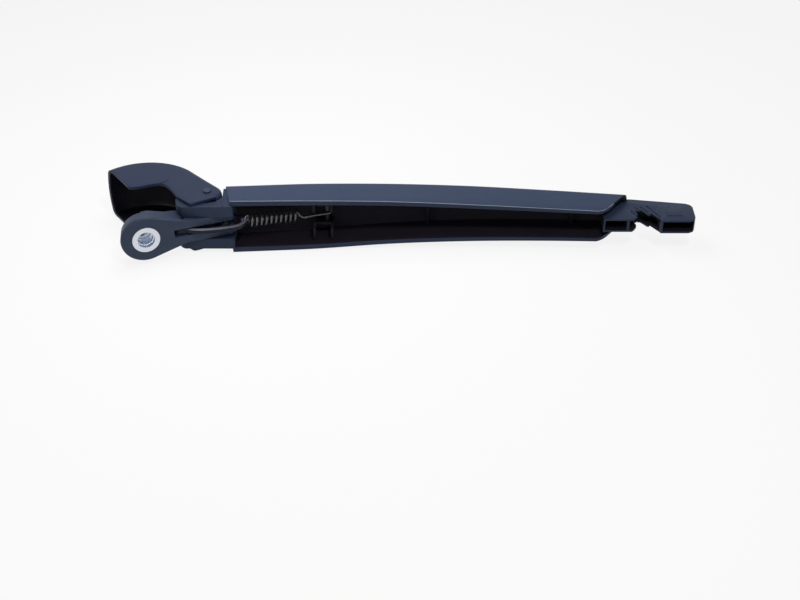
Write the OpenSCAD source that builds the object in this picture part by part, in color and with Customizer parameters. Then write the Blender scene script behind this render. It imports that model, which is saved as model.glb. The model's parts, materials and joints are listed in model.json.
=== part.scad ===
// A moulded rear wiper arm, seen from its underside, with its mounting head, flip cover and tension spring.
// Origin: centre of the spindle bore on the underside of the boss.
// +X runs towards the blade end, +Y away from the glass, +Z across the arm.

/* [Head] */
// Radius of the round boss that sits on the spindle
boss_r = 13.0; // [12.6:0.1:13.2]
// Height of the boss along the spindle
boss_h = 10.5; // [10:0.1:11]
// Width of the neck between the two ears of the arm
neck_w = 12.8; // [12:0.2:12.8]
// Distance from the spindle to the fold pin
pin_x = 36; // [35:0.5:38]
// Height of the fold pin above the underside of the boss
pin_y = 12; // [11:0.5:13]
// Radius of the hub round the fold pin
hub_r = 5.2; // [4.8:0.1:5.4]
// Reach of the nose of the neck beyond the fold pin
nose = 11; // [9:0.5:11]

/* [Insert] */
// Outer radius of the steel insert pressed into the boss
insert_r = 7.2; // [6.8:0.1:7.6]
// Radius of the plain mouth of the spindle bore
mouth_r = 4.5; // [4.3:0.1:4.7]
// Number of serrations that grip the spindle
serrations = 30; // [24:1:36]
// Depth of one serration
serration_depth = 0.35; // [0.25:0.05:0.45]
// Radius of the hole for the threaded end of the spindle
thread_hole_r = 3.1; // [2.8:0.1:3.3]

/* [Fold] */
// Angle by which the free arm folds towards the glass from its working line
fold_angle = 20; // [18:1:22]
// Angle of the open cover against the arm
cover_tilt = 45; // [43:1:47]
// Radius of the fold pin
pin_r = 2.25; // [2.15:0.05:2.25]
// Distance from the middle plane to the plain end of the fold pin
pin_end = 15.5; // [15.2:0.1:16]
// Radial gap of the turning fits on the fold pin
pin_gap = 0.05; // [0.04:0.01:0.06]

/* [Arm] */
// Arm section 1: level of the rim, level of the shoulder, half width
section_1 = [-11.6, 5.1, 15.7]; // [-20:0.1:20]
// Arm section 2: level of the rim, level of the shoulder, half width
section_2 = [-9.9, 8.3, 14.9]; // [-20:0.1:20]
// Arm section 3: level of the rim, level of the shoulder, half width
section_3 = [-7.8, 11.1, 13.1]; // [-20:0.1:20]
// Arm section 4: level of the rim, level of the shoulder, half width
section_4 = [-7.9, 11.7, 11.4]; // [-20:0.1:20]
// Arm section 5: level of the rim, level of the shoulder, half width
section_5 = [-9.5, 9.7, 10.1]; // [-20:0.1:20]
// Arm section 6: level of the rim, level of the shoulder, half width
section_6 = [-11.9, 6.6, 9.1]; // [-20:0.1:20]
// Distance from the fold pin to arm section 1
section_start = 15; // [15:1:15]
// Spacing of the arm sections
section_step = 40; // [40:1:40]
// Height of the crown of the outer skin above its shoulders
crown = 2.6; // [2:0.1:3]
// Wall at the root of the arm
wall_root = 3.0; // [2.6:0.1:3.2]
// Wall at the tip of the arm
wall_tip = 2.0; // [1.8:0.1:2.2]
// Number of steps along the arm
arm_steps = 26; // [16:1:30]

/* [Ears] */
// Distance from the middle of the arm to the inner face of an ear
ear_in = 6.8; // [6.7:0.1:7]
// Distance from the middle of the arm to the outer face of an ear
ear_out = 12.8; // [12.4:0.1:13]
// Level of the underside of the ears
ear_floor = -12.7; // [-13:0.1:-12]

/* [Tip] */
// Half width of the blade connector
tip_half = 3.9; // [3.7:0.1:4.2]
// Wall of the blade connector
tip_wall = 1.0; // [0.9:0.1:1.3]
// Distance from the fold pin to the end of the connector
tip_end = 253.8; // [252:0.1:255]

/* [Cover] */
// Half width of the cover
cover_half = 14.7; // [14.6:0.1:14.8]
// Wall of the cover
cover_wall = 1.6; // [1.5:0.1:1.7]
// Radius of the domed end of the cover
dome_r = 30.4; // [30:0.1:31]
// Level of the flat back of the cover above the fold pin
back_level = 7.6; // [7.4:0.1:7.6]
// Distance from the fold pin to the middle of the domed end
dome_x = 22; // [21.5:0.1:22.5]

/* [Spring] */
// Outer diameter of the spring coil
coil_d = 7.2; // [6.8:0.1:7.6]
// Diameter of the spring wire
wire_d = 1.3; // [1.2:0.1:1.4]
// Number of turns in the coil
turns = 10; // [9:1:11]
// Distance from the fold pin to the anchor pin, along the arm
anchor_a = 61.9; // [61:0.1:63]
// Level of the anchor pin above the line of the arm
anchor_d = 3.8; // [3.6:0.1:4]
// Place of the link pin in the head
link_x = 20.2; // [20:0.1:20.4]
// Height of the link pin in the head
link_y = 3.6; // [3.4:0.1:3.8]

/* [Hidden] */
$fn = 64;
eps = 0.01;
big = 60;
SECTIONS = [section_1, section_2, section_3, section_4, section_5, section_6];
last = len(SECTIONS) - 1;
// Arm shell: ends, lean of the two ends, shoulder, collar
skin_start = 8.8;
skin_end = 223;
root_lean = 12;
tip_lean = 36;
shoulder_r = 3.2;
collar_start = 8.4;
collar_inset = 0.9;
// Ears: right end and the round channel that clears the cover
ear_end = 14;
channel_r = 8.4;
channel_top = 12;
// Fold: bush wall, link pin, slot for the link
bush_wall = 0.8;
link_r = 1.25;
link_slot_w = 4.4;
link_slot_x = 14.8;
// Spring: anchor pin, end of the link, first turn
anchor_r = 1.6;
anchor_half = 6.6;
spring_start = 32;
coil_gap = 1.6;
// Webs round the anchor pin
WEBS = [55.4, 64.6];
web_t = 1.4;
rail_near = 5;
rail_far = 6.6;

// Frames of the moving groups
module at_pin() { translate([pin_x, pin_y, 0]) children(); }
module arm_frame() { at_pin() rotate([0, 0, -fold_angle]) children(); }
module cover_frame() { at_pin() rotate([0, 0, -fold_angle - cover_tilt]) children(); }

// Flat plate of a side outline, centred on the middle plane
module plate(t) { linear_extrude(t, center = true) children(); }
// The same plate between two distances on each side of the middle plane
module pair(near, far) {
    for (s = [0, 1]) mirror([0, 0, s]) translate([0, 0, near]) linear_extrude(far - near) children();
}
module cross_pin(r, half) { cylinder(r = r, h = 2 * half, center = true); }
// Points on an arc, angles in degrees
function arc(c, r, from, to, n) =
    [for (i = [0 : n]) let (t = from + (to - from) * i / n) c + r * [cos(t), sin(t)]];
// Slot shape with round ends between x0 and x1
module capsule(x0, x1, r) {
    polygon(concat([for (t = [-90 : 15 : 90]) [x1 + r * cos(t), r * sin(t)]],
                   [for (t = [90 : 15 : 270]) [x0 + r * cos(t), r * sin(t)]]));
}
// Bar of given width along a list of points
module ribbon(points, w) {
    n = len(points);
    side = [for (i = [0 : n - 1])
        let (v = points[min(i + 1, n - 1)] - points[max(i - 1, 0)]) [-v[1], v[0]] / norm(v)];
    polygon(concat([for (i = [0 : n - 1]) points[i] - side[i] * w / 2],
                   [for (i = [n - 1 : -1 : 0]) points[i] + side[i] * w / 2]));
}

// Smooth curve through a list of points
function smooth(p, q, r, s, t) =
    (2 * q + (r - p) * t + (2 * p - 5 * q + 4 * r - s) * t * t + (3 * q - p - 3 * r + s) * t * t * t) / 2;
function curve(points, steps) = let (m = len(points) - 1) concat(
    [for (i = [0 : m - 1], k = [0 : steps - 1])
        smooth(points[max(i - 1, 0)], points[i], points[i + 1], points[min(i + 2, m)], k / steps)], [points[m]]);

// Smooth section of the arm at distance a from the fold pin
function mix(p, q, t) = p + (q - p) * t;
function row_at(i) = i < 0 ? 2 * SECTIONS[0] - SECTIONS[1]
    : i > last ? 2 * SECTIONS[last] - SECTIONS[last - 1] : SECTIONS[i];
function section(a) =
    let (u = (a - section_start) / section_step, i = max(0, min(last - 1, floor(u))))
    smooth(row_at(i - 1), row_at(i), row_at(i + 1), row_at(i + 2), u - i);
function wall_at(a) = mix(wall_root, wall_tip, (a - section_start) / (section_step * last));
function crown_at(a) = crown * min(1, 0.5 + (a - skin_start) / 90);

// Half outline of a crowned hood: from the rim at z = half, round the shoulder, to the middle of the crown
function roof(z, half, rise) = rise * (1 - z * z / (half * half));
function half_hood(rim, top, half, r, rise) =
    let (inner = half - r, base = top + roof(inner, half, rise) - r)
    concat([[half, rim]],
           [for (t = [0 : 18 : 72]) [inner + r * cos(t), base + r * sin(t)]],
           [for (k = [0.84, 0.6, 0.3, 0]) [inner * k, top + roof(inner * k, half, rise)]]);
function both_sides(h) = concat(h, [for (i = [len(h) - 2 : -1 : 0]) [-h[i][0], h[i][1]]]);
function backwards(v) = [for (i = [len(v) - 1 : -1 : 0]) v[i]];
// Closed outline of a hood with an even wall
function hood(rim, top, half, r, rise, wall) =
    concat(both_sides(half_hood(rim, top, half, r, rise)),
           backwards(both_sides(half_hood(rim, top - wall, half - wall, max(r - wall, 0.8), rise))));
// Triangles that close a ring by joining its first half to its second half
function strip(first, n, turned) =
    [for (j = [0 : n / 2 - 2]) let (a = first + j, b = first + n - 1 - j)
        each (turned ? [[a, b - 1, a + 1], [a, b, b - 1]] : [[a, a + 1, b - 1], [a, b - 1, b]])];
// Solid through a list of rings with equal, even numbers of points
module loft(rings) {
    n = len(rings[0]);
    m = len(rings);
    polyhedron(
        points = [for (ring = rings) each ring],
        faces = concat(
            strip(0, n, true),
            [for (i = [0 : m - 2]) for (j = [0 : n - 1])
                let (k = (j + 1) % n, p = i * n, q = p + n)
                each [[p + j, q + k, q + j], [p + j, p + k, q + k]]],
            strip((m - 1) * n, n, false)),
        convexity = 8);
}
function arm_ring(a, less) =
    let (s = section(a))
    [for (p = hood(s[0], s[1] - less, s[2] - less, shoulder_r, crown_at(a), wall_at(a))) [a, p[1], p[0]]];
// Half space beyond a leaning plane across the arm
module beyond(a, level, lean, way) {
    translate([a, level, 0]) rotate([0, 0, lean]) translate([way * big / 2, 0, 0]) cube(big, center = true);
}

// Outline of one ear, seen across the arm: a hook round the channel of the cover
module ear_outline() {
    circle(hub_r);
    polygon(concat(
        [[-hub_r, 0], [-16, -4.4], [-15.8, -6.6], [-14.9, -9.4], [-13.4, -11.8], [-11.6, ear_floor],
         [ear_end, ear_floor], [ear_end, 3.4]],
        arc([0, 0], channel_r, channel_top, -100, 16), [hub_r * [cos(-100), sin(-100)]]));
}
module arm_collar() { loft([for (i = [0 : 3]) arm_ring(mix(collar_start, 22, i / 3), collar_inset)]); }
module arm_skin() {
    difference() {
        loft([for (i = [0 : arm_steps]) arm_ring(mix(skin_start, skin_end, i / arm_steps), 0)]);
        beyond(skin_start, 6, root_lean, -1);
        beyond(skin_end - 4, 7, -tip_lean, 1);
    }
}
// Groove in the inside of the root, which the bend of the link enters when the arm is lifted
module link_groove() { plate(link_slot_w) translate([0, -12]) square([18, 16.4]); }
// Relief inside the free ends of the ears, which the flare of the neck enters
module neck_relief() { plate(2 * ear_in + 1.4) translate([-18, -14]) square([6, 12]); }
module arm_body() {
    color([0.20, 0.24, 0.31]) arm_frame() difference() {
        union() {
            arm_skin();
            arm_collar();
            pair(ear_in, ear_out) ear_outline();
            anchor_webs();
            inner_ribs();
            tip();
        }
        cross_pin(pin_r, big);
        translate([anchor_a, anchor_d, 0]) cross_pin(anchor_r, anchor_half + 0.4);
        link_groove();
        neck_relief();
    }
}
// Two notched webs joined by two rails that carry the anchor pin
module anchor_webs() {
    web_floor = -5.6;
    rail_floor = 0.6;
    for (a = WEBS) let (s = section(a)) translate([a - web_t / 2, 0, 0]) {
        pair(rail_near, s[2] - 1) translate([0, web_floor]) square([web_t, s[1] - 1.6 - web_floor]);
        plate(2 * rail_near + 1) translate([0, s[1] - 2.4]) square([web_t, 3]);
    }
    pair(rail_near, rail_far) translate([WEBS[0], rail_floor]) square([WEBS[1] - WEBS[0], 8 - rail_floor]);
}
module inner_ribs() {
    rib_t = 1.2;
    rib_h = 6;
    for (a = [115, 191]) let (s = section(a))
        translate([a - rib_t / 2, s[1] - rib_h, 0]) plate(2 * s[2] - 2) square([rib_t, rib_h]);
}
module tip_outline() {
    difference() {
        polygon([[206, 9.4], [222, 9.2], [tip_end - 3.4, 5.0], [tip_end - 1, 3.6], [tip_end, 1.4], [tip_end, -8.2],
                 [tip_end - 1, -10.4], [tip_end - 3.4, -11.6], [230, -11.6], [230, -10.3], [206, -10.3]]);
        notch_outline();
    }
}
module notch_outline() {
    polygon([[221.2, -12], [221.2, -10.3], [223.6, -7.6], [224, -5], [222.8, -2], [226.5, -1.2], [229.7, -5.4],
             [230.5, -5.7], [231.3, -4.5], [235.4, -10.4], [236.3, -12]]);
}
module tip() {
    pocket_top = 2;
    difference() {
        plate(2 * tip_half) tip_outline();
        // Pockets open to the glass side
        for (p = [[207, 218.2], [219.6, 235.2], [236.8, tip_end - tip_wall]])
            translate([p[0], pocket_top - 16, 0]) plate(2 * (tip_half - tip_wall)) square([p[1] - p[0], 16]);
        // Recessed pad and snap slits on both flanks
        pair(tip_half - 0.35, tip_half + 1) polygon([[240, -6.2], [247.8, -6.2], [247.8, 0.6], [240, 0.6]]);
        pair(tip_half - 0.5, tip_half + 1) {
            polygon([[220.6, -2.2], [221.6, -1.9], [223.8, -7.4], [222.9, -8.4]]);
            polygon([[229.2, 2.4], [230.2, 2.8], [236, -8.4], [235, -9]]);
        }
    }
}

// Mounting head: tapered boss, flanks, neck and nose in one moulding
module boss() {
    edge = 1.6;
    shoulder_h = 9.2;
    taper = 1.6;
    hub = insert_r + 2.4;
    rotate([-90, 0, 0]) rotate_extrude() polygon(concat(
        [[0, 0]], arc([boss_r - edge, edge], edge, -90, 0, 5),
        arc([boss_r - taper - 1, shoulder_h - 1], 1, 10, 90, 4),
        [[hub, shoulder_h], [hub, boss_h], [0, boss_h]]));
}
module neck_side() {
    translate([pin_x, pin_y]) circle(hub_r);
    polygon([[0, 0], [pin_x + nose - 1.6, 0], [pin_x + nose, 1.4], [pin_x + nose, 3.4], [pin_x + nose - 1.6, 5],
             [pin_x + 6, 5.4], [pin_x + 4.2, 4], [pin_x + 2.2, 3.2], [pin_x + 1, 5], [pin_x, pin_y],
             [pin_x - 1.9, pin_y + hub_r - 0.4], [12, boss_h - 1.6], [0, boss_h - 1.6]]);
}
function tangent(r, p) = let (t = acos(r / norm(p)) + atan2(p[1], p[0])) r * [cos(t), sin(t)];
module neck_plan() {
    waist = [21.5, neck_w / 2];
    foot = tangent(boss_r - 0.8, waist);
    side = [[0, foot[1]], foot, waist, [pin_x + nose + 1, waist[1]]];
    polygon(concat(side, [for (p = backwards(side)) [p[0], -p[1]]]));
}
// Open middle of the neck, in which the link moves
module link_slot() {
    plate(link_slot_w)
        polygon([[link_slot_x, -2], [link_slot_x, 7], [27, 9.2], [32, 9.6], [pin_x, pin_y], [pin_x + 5, pin_y + 3],
                 [pin_x + nose + 2, pin_y + 4], [pin_x + nose + 2, -2]]);
}
module mounting_head() {
    color([0.19, 0.21, 0.27]) difference() {
        union() {
            boss();
            intersection() {
                plate(2 * boss_r) neck_side();
                rotate([-90, 0, 0]) linear_extrude(pin_y + hub_r + 1) mirror([0, 1]) neck_plan();
            }
        }
        rotate([-90, 0, 0]) translate([0, 0, -1]) cylinder(r = insert_r, h = boss_h + 2);
        at_pin() cross_pin(pin_r + pin_gap + bush_wall, big);
        translate([link_x, link_y, 0]) cross_pin(link_r, big);
        link_slot();
    }
}

// Steel insert: ring, plain mouth, serrated grip and hole for the threaded end
module star(n, r, depth) {
    polygon([for (i = [0 : 2 * n - 1])
        let (q = i % 2 == 0 ? r : r - depth) q * [cos(180 * i / n), sin(180 * i / n)]]);
}
module spindle_insert() {
    mouth_h = 2.2;
    grip_h = 6.4;
    flange_h = 1.2;
    color([0.80, 0.81, 0.83]) rotate([-90, 0, 0]) difference() {
        union() {
            translate([0, 0, -0.3]) cylinder(r = insert_r, h = boss_h + 0.3);
            translate([0, 0, boss_h]) cylinder(r = insert_r + 1.8, h = flange_h);
        }
        translate([0, 0, -1]) cylinder(r = thread_hole_r, h = boss_h + flange_h + 2);
        translate([0, 0, -1]) cylinder(r = mouth_r, h = mouth_h + 1);
        translate([0, 0, mouth_h - eps]) linear_extrude(grip_h) star(serrations, mouth_r - 0.05, serration_depth);
    }
}

module pivot_bush() {
    color([0.72, 0.60, 0.36]) at_pin() difference() {
        cross_pin(pin_r + pin_gap + bush_wall, neck_w / 2);
        cross_pin(pin_r + pin_gap, big);
    }
}
module fold_pin() {
    head_t = 1.2;
    chamfer = 0.4;
    head_z = -cover_half - 0.2 - head_t;
    color([0.16, 0.18, 0.22]) at_pin() rotate_extrude()
        polygon([[0, head_z], [pin_r + 0.8, head_z], [pin_r + 1.1, head_z + 0.3], [pin_r + 1.1, head_z + head_t],
                 [pin_r, head_z + head_t], [pin_r, pin_end - chamfer], [pin_r - chamfer, pin_end], [0, pin_end]]);
}
module link_pin() {
    color([0.55, 0.57, 0.60]) translate([link_x, link_y, 0]) cross_pin(link_r, neck_w / 2 - 0.3);
}
module anchor_pin() {
    color([0.55, 0.57, 0.60]) arm_frame() translate([anchor_a, anchor_d, 0]) cross_pin(anchor_r, anchor_half);
}

// Cover: a crowned roof swept along its side line, with two flat cheeks.
// A station u runs from -1 to 0 on the dome, to 1 on the flat back and to 2 round the pin.
function roof_angle(u) = u < 0 ? 90 - 90 * u : u < 1 ? 90 : 180 - 90 * u;
function roof_centre(u) = u < 0 ? [-dome_x, back_level - dome_r] : [-dome_x * max(0, 1 - u), 0];
function roof_radius(u) = u < 0 ? dome_r : back_level;
function cover_rise(u) = u < 0 ? mix(1.3, 4.6, -u) : 0.3 + pow(max(0, 1 - u), 2);
function cover_ring(u) =
    let (way = [cos(roof_angle(u)), sin(roof_angle(u))], base = roof_centre(u) + roof_radius(u) * way)
    [for (p = hood(-4.2, 0, cover_half, 3, cover_rise(u), cover_wall))
        [base[0] + way[0] * p[1], base[1] + way[1] * p[1], p[0]]];
module cheek_outline() {
    skin = 1.2;
    intersection() {
        union() {
            translate([-dome_x, back_level - dome_r]) circle(dome_r - skin);
            translate([-dome_x, -30]) square([dome_x, 30 + back_level - skin]);
            circle(back_level - skin);
            translate([-dome_x, -20]) square([dome_x + back_level - 0.2, 20]);
        }
        polygon([[-56, -22.3], [-53.3, -22.6], [-48, -23.2], [-42, -24.4], [-35.6, -25.7], [-32.4, -26.1], [-30.7, -25.2],
                 [-28.6, -22], [-26.5, -17.2], [-25.1, -14.5], [-23.6, -12.6], [-20.4, -11.2], [-15, -11.9],
                 [-7.6, -13.9], [-2.4, -14.1], [2, -14], [3.2, -13.5], [3.9, -12.3], [back_level, 0], [9, 10],
                 [-56, 10]]);
    }
}
module cover() {
    stations = concat([for (i = [0 : 12]) -1 + i / 12], [0.3, 0.65, 1 - eps], [for (i = [1 : 6]) 1 + i / 6]);
    color([0.21, 0.25, 0.33]) cover_frame() difference() {
        union() {
            loft([for (u = stations) cover_ring(u)]);
            pair(cover_half - cover_wall, cover_half) cheek_outline();
        }
        cross_pin(pin_r + pin_gap, big);
        link_notch();
    }
}
// Notch in the front edge, through which the link passes when the arm is lifted
module link_notch() { plate(link_slot_w) translate([2.2, -1]) square(10); }

// Link: flat steel hook that passes round the hub on the glass side
function anchor_place() = [pin_x, pin_y]
    + anchor_a * [cos(fold_angle), -sin(fold_angle)] + anchor_d * [sin(fold_angle), cos(fold_angle)];
function line_angle() = let (v = anchor_place() - [link_x, link_y]) atan2(v[1], v[0]);
module link_frame() { translate([link_x, link_y, 0]) rotate([0, 0, line_angle()]) children(); }
module spring_link() {
    bar = 2.1;
    link_t = 2;
    eye_r = 2.75;
    play_back = 2;
    play_front = 0.6;
    play_side = 0.4;
    path = [[0, -0.6], [2.6, -2.2], [6, -3.6], [10, -4.6], [15, -5.1], [20, -5.2], [25, -5], [28.6, -4.2],
            [31, -2.4], [spring_start, 0]];
    color([0.42, 0.44, 0.47]) link_frame() plate(link_t) difference() {
        union() {
            capsule(-play_back, play_front, eye_r);
            ribbon(curve(path, 4), bar);
            translate([spring_start, 0]) circle(1.9);
        }
        capsule(-play_back, play_front, link_r + play_side);
        translate([spring_start, 0]) circle(wire_d / 2 + 0.25);
    }
}

// Spring: helical coil with a short hook in the link and a long hook round the anchor pin
function coil_point(t, start, length) =
    let (r = (coil_d - wire_d) / 2, turn = 360 * turns * t + 90)
    [start + length * t, r * cos(turn), r * sin(turn)];
module wire(points, sides) {
    n = len(points);
    dirs = [for (i = [0 : n - 1]) let (v = points[min(i + 1, n - 1)] - points[max(i - 1, 0)]) v / norm(v)];
    rings = [for (i = [0 : n - 1])
        let (side = cross(dirs[i], abs(dirs[i][2]) < 0.9 ? [0, 0, 1] : [0, 1, 0]),
             u = side / norm(side), v = cross(dirs[i], u))
        [for (k = [0 : sides - 1]) let (t = 360 * k / sides) points[i] + wire_d / 2 * (cos(t) * u + sin(t) * v)]];
    loft(rings);
}
module tension_spring() {
    reach = norm(anchor_place() - [link_x, link_y]);
    start = spring_start + coil_gap;
    length = 25.4;
    steps = 14 * turns;
    hook_r = anchor_r + wire_d / 2 + 0.1;
    coil = [for (i = [0 : steps]) coil_point(i / steps, start, length)];
    end = start + length;
    near = [[spring_start, 0, -1.4], [spring_start + 0.1, 0, 1.1], [spring_start + 0.6, 1, 1.9],
            [start - 0.4, 2.2, 1.2]];
    far = concat([[end + 0.9, 1.8, -1.6], [end + 2.4, -1.4, -1.4], [end + 4.4, -2.9, -0.3], [end + 8, -2.7, 0]],
                 [for (t = [250 : 24 : 418]) [reach + hook_r * cos(t), hook_r * sin(t), 0]]);
    color([0.35, 0.36, 0.40]) link_frame() wire(concat(near, coil, far), 6);
}

arm_body();
mounting_head();
spindle_insert();
pivot_bush();
fold_pin();
cover();
tension_spring();
spring_link();
link_pin();
anchor_pin();
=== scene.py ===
"""Looks of a moulded rear wiper arm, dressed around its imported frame."""

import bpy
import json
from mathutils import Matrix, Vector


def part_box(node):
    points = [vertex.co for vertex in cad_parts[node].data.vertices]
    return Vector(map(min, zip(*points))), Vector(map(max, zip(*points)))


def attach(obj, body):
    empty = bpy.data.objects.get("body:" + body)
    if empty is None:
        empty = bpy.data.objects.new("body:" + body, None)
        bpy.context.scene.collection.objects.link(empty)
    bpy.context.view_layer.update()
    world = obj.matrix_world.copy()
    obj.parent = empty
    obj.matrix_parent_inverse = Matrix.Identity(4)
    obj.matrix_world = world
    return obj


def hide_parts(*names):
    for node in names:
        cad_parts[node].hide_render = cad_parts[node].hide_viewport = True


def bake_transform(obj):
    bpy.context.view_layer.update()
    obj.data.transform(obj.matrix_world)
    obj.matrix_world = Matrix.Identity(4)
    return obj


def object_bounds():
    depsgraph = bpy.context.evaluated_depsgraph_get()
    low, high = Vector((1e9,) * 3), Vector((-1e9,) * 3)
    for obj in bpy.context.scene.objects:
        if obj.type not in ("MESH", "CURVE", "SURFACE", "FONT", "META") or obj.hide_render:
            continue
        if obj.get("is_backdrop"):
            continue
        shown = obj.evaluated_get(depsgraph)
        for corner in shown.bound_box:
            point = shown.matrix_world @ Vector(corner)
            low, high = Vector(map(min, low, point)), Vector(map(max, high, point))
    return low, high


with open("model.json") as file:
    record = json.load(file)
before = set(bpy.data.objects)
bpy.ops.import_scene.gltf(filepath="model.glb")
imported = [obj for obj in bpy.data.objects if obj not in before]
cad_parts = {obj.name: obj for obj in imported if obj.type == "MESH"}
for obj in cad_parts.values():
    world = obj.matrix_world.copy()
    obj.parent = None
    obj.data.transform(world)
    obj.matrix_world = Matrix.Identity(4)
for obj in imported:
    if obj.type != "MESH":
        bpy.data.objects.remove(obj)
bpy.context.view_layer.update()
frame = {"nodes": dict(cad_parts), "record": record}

import json
from math import atan2, cos, dist, pi, radians, sin, tan

import bmesh
import bpy
from mathutils import Matrix, Vector

bl_info = {
    "name": "Wiper Arm",
    "version": (1, 0, 0),
    "blender": (4, 5, 0),
    "location": "3D View > Sidebar > Wiper Arm",
    "description": "Builds the finished pieces of a rear wiper arm around its frame",
    "category": "Object",
}

# Places taken from the frame
MM = 0.001
JOINTS = {joint["name"]: joint for joint in frame["record"]["behaviour"]["joints"]}


def middle(node):
    """Centre of a frame node's box."""
    low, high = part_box(node)
    return (Vector(low) + Vector(high)) / 2


FOLD_PIN = Vector(JOINTS["arm_lift"]["pos_m"])
ANCHOR = Vector(JOINTS["spring_swing"]["pos_m"])
LINK_PIN = middle("link_pin")
SPRING_LINE = ANCHOR - LINK_PIN
ARM_TURN = -radians(20)
COVER_TILT = radians(45)
TO_METRES = Matrix.Scale(MM, 4)


def frame_at(place, turn):
    """Millimetre frame at a place, turned about the fold axis."""
    return Matrix.Translation(place) @ Matrix.Rotation(turn, 4, "Z") @ TO_METRES


ARM_FRAME = frame_at(FOLD_PIN, ARM_TURN)
COVER_FRAME = frame_at(FOLD_PIN, ARM_TURN - COVER_TILT)
LINK_FRAME = frame_at(LINK_PIN, atan2(SPRING_LINE.y, SPRING_LINE.x))
ANCHOR_REACH = SPRING_LINE.length / MM
SPRING_SWING = next(coupling["ratio"] for coupling in frame["record"]["behaviour"]["couplings"]
                    if coupling["joint"] == "spring_swing")

# Fineness of the meshes and the rounding of their edges, in metres
WELD = 2e-6
WELD_MM = 1e-4  # in millimetres, before a shape is moved into its place
ROD_STEPS = 48
FLAT = radians(0.6)
SMOOTH_LIMIT = radians(40)
EDGE_LIMIT = radians(32)
EDGE_STEPS = 3
INSERT_EDGE = 0.00012
PIN_EDGE = 0.00015
LINK_EDGE = 0.0002

# All shapes below are in millimetres. In the arm's frame, distances run along the arm from the fold pin
# and levels run away from the glass.

# Sections of the arm's shell, one every SECTION_STEP: level of the rim, level of the shoulder, half width
SECTIONS = [
    (-11.6, 5.1, 15.7),
    (-9.9, 8.3, 14.9),
    (-7.8, 11.1, 13.1),
    (-7.9, 11.7, 11.4),
    (-9.5, 9.7, 10.1),
    (-11.9, 6.6, 9.1),
]
SECTION_START = 15
SECTION_STEP = 40
SKIN_START = 8.8
SKIN_END = 219.3
ROOT_SLANT = -tan(radians(12))
TIP_SLANT = tan(radians(36))
SLANT_LEVEL = 7
TIP_CORNER = 5
SLANT_FADE = 40
SHOULDER_R = 3.2
SHOULDER_TURN = 72
SHOULDER_STEPS = 8
LEAST_R = 0.8
SIDE_SHARES = (0, 0.33, 0.66)
ROOF_SHARES = (0.88, 0.7, 0.5, 0.3, 0.15, 0)
CROWN_START = 0.5
CROWN_RUN = 90
SKIN_STEPS = 110
CORNER_STEPS = 12
RIM_LEVEL = -3
WALL_ROOT = 3.0
WALL_TIP = 2.0

# Collar, its inner lips and the ears
COLLAR_START = 8.4
COLLAR_INSET = 0.9
COLLAR_FOOT = 0.2
LIP_FRONT = 8.1
LIP_BACK = 10
LIP_HALF = 3.4
LIP_IN = 2.4
LIP_OUT = 11.6
EAR_IN = 6.8
EAR_OUT = 12.8
EAR_FLOOR = -12.7
EAR_END = 14
EAR_TOP = 3.4
COLLAR_STATIONS = (COLLAR_START, 10, 12, EAR_END)
EAR_BACK = [(-16, -4.4), (-15.85, -6.6), (-15.0, -9.4), (-14.3, -10.8), (-13.4, -11.8), (-12.5, -12.4),
            (-11.6, EAR_FLOOR)]
RELIEF = (-18, -14, -12, -2)
RELIEF_DEPTH = 0.7
HUB_R = 5.2
HUB_ARC = (-100, 180, 40)
CHANNEL_R = 8.4
CHANNEL_ARC = (12, -100, 32)
PIN_R = 2.25
HOLE_HALF = 20

# Room for the link and for the lifted spring
GROOVE_HALF = 2.2
GROOVE_END = 18
GROOVE_TOP = 4.4
GROOVE_FLOOR = -12
ROOM_R = 3.8
ROOM_NEAR = 20
ROOM_FAR = 50

# Webs and rails at the anchor pin, and the low ribs; depths run down from the shoulder
WEBS = (("near", 55.4), ("far", 64.6))
WEB = 1.4
WEB_FOOT = -5.6
WEB_TOP = 1.6
WEB_ROOF = (2.4, -0.6)
WEB_LAP = 0.5
RAIL_NEAR = 5
RAIL_FAR = 6.6
RAIL_LEVELS = (0.6, 8)
RIBS = (("first", 115), ("second", 191))
RIB = 1.2
RIB_DEPTH = 6
SIDE_LAP = 1

# Blade connector: its outline, the pockets open to the glass, the slits and the low pads on its sides
TIP_HALF = 3.9
TIP_WALL = 1.0
TIP_END = 253.8
TIP_EDGE = 0.6
CONNECTOR = [
    (206, -10.3), (221.2, -10.3), (223.6, -7.6), (224, -5), (222.8, -2), (226.5, -1.2), (229.7, -5.4),
    (230.5, -5.7), (231.3, -4.5), (235.4, -10.4), (236, -11.6), (TIP_END - 3.4, -11.6),
    (TIP_END - 1, -10.4), (TIP_END, -8.2), (TIP_END, 1.4), (TIP_END - 1, 3.6), (TIP_END - 3.4, 5.0),
    (222, 9.2), (206, 9.4)]
POCKETS = ((207, 218.2), (219.6, 235.2), (236.8, TIP_END - TIP_WALL))
POCKET_FLOOR = -14
POCKET_MOUTH = -10
POCKET_TOP = 2
SLITS = [
    [(220.6, -2.2), (221.6, -1.9), (223.8, -7.4), (222.9, -8.4)],
    [(223.2, 0.9), (224.0, 1.2), (225.6, -1.6), (224.8, -1.9)],
    [(225.9, 1.6), (226.8, 1.9), (230.2, -3.6), (229.4, -4.2)],
    [(229.2, 2.4), (230.2, 2.8), (236, -8.4), (235, -9)]]
SLIT_DEPTH = 0.5
PAD = (239.4, -7.0, 247.4, 0.0)
PAD_HEIGHT = 0.3

# Flip cover, in its own frame
DOME_R = 30.38
DOME_X = 22
BACK = 7.6
COVER_HALF = 14.7
COVER_SHOULDER = 3.0
DOME_SHOULDER = 1.5
DOME_SPREAD = 2.6
RISE_RIM = 4.6 - DOME_SPREAD
RISE_BEND = 1.3
RISE_PIN = 0.3
DOME_STEPS = 48
FLAT_STEPS = 20
BEND_STEPS = 24
CHEEK_STEPS = 5
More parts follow.
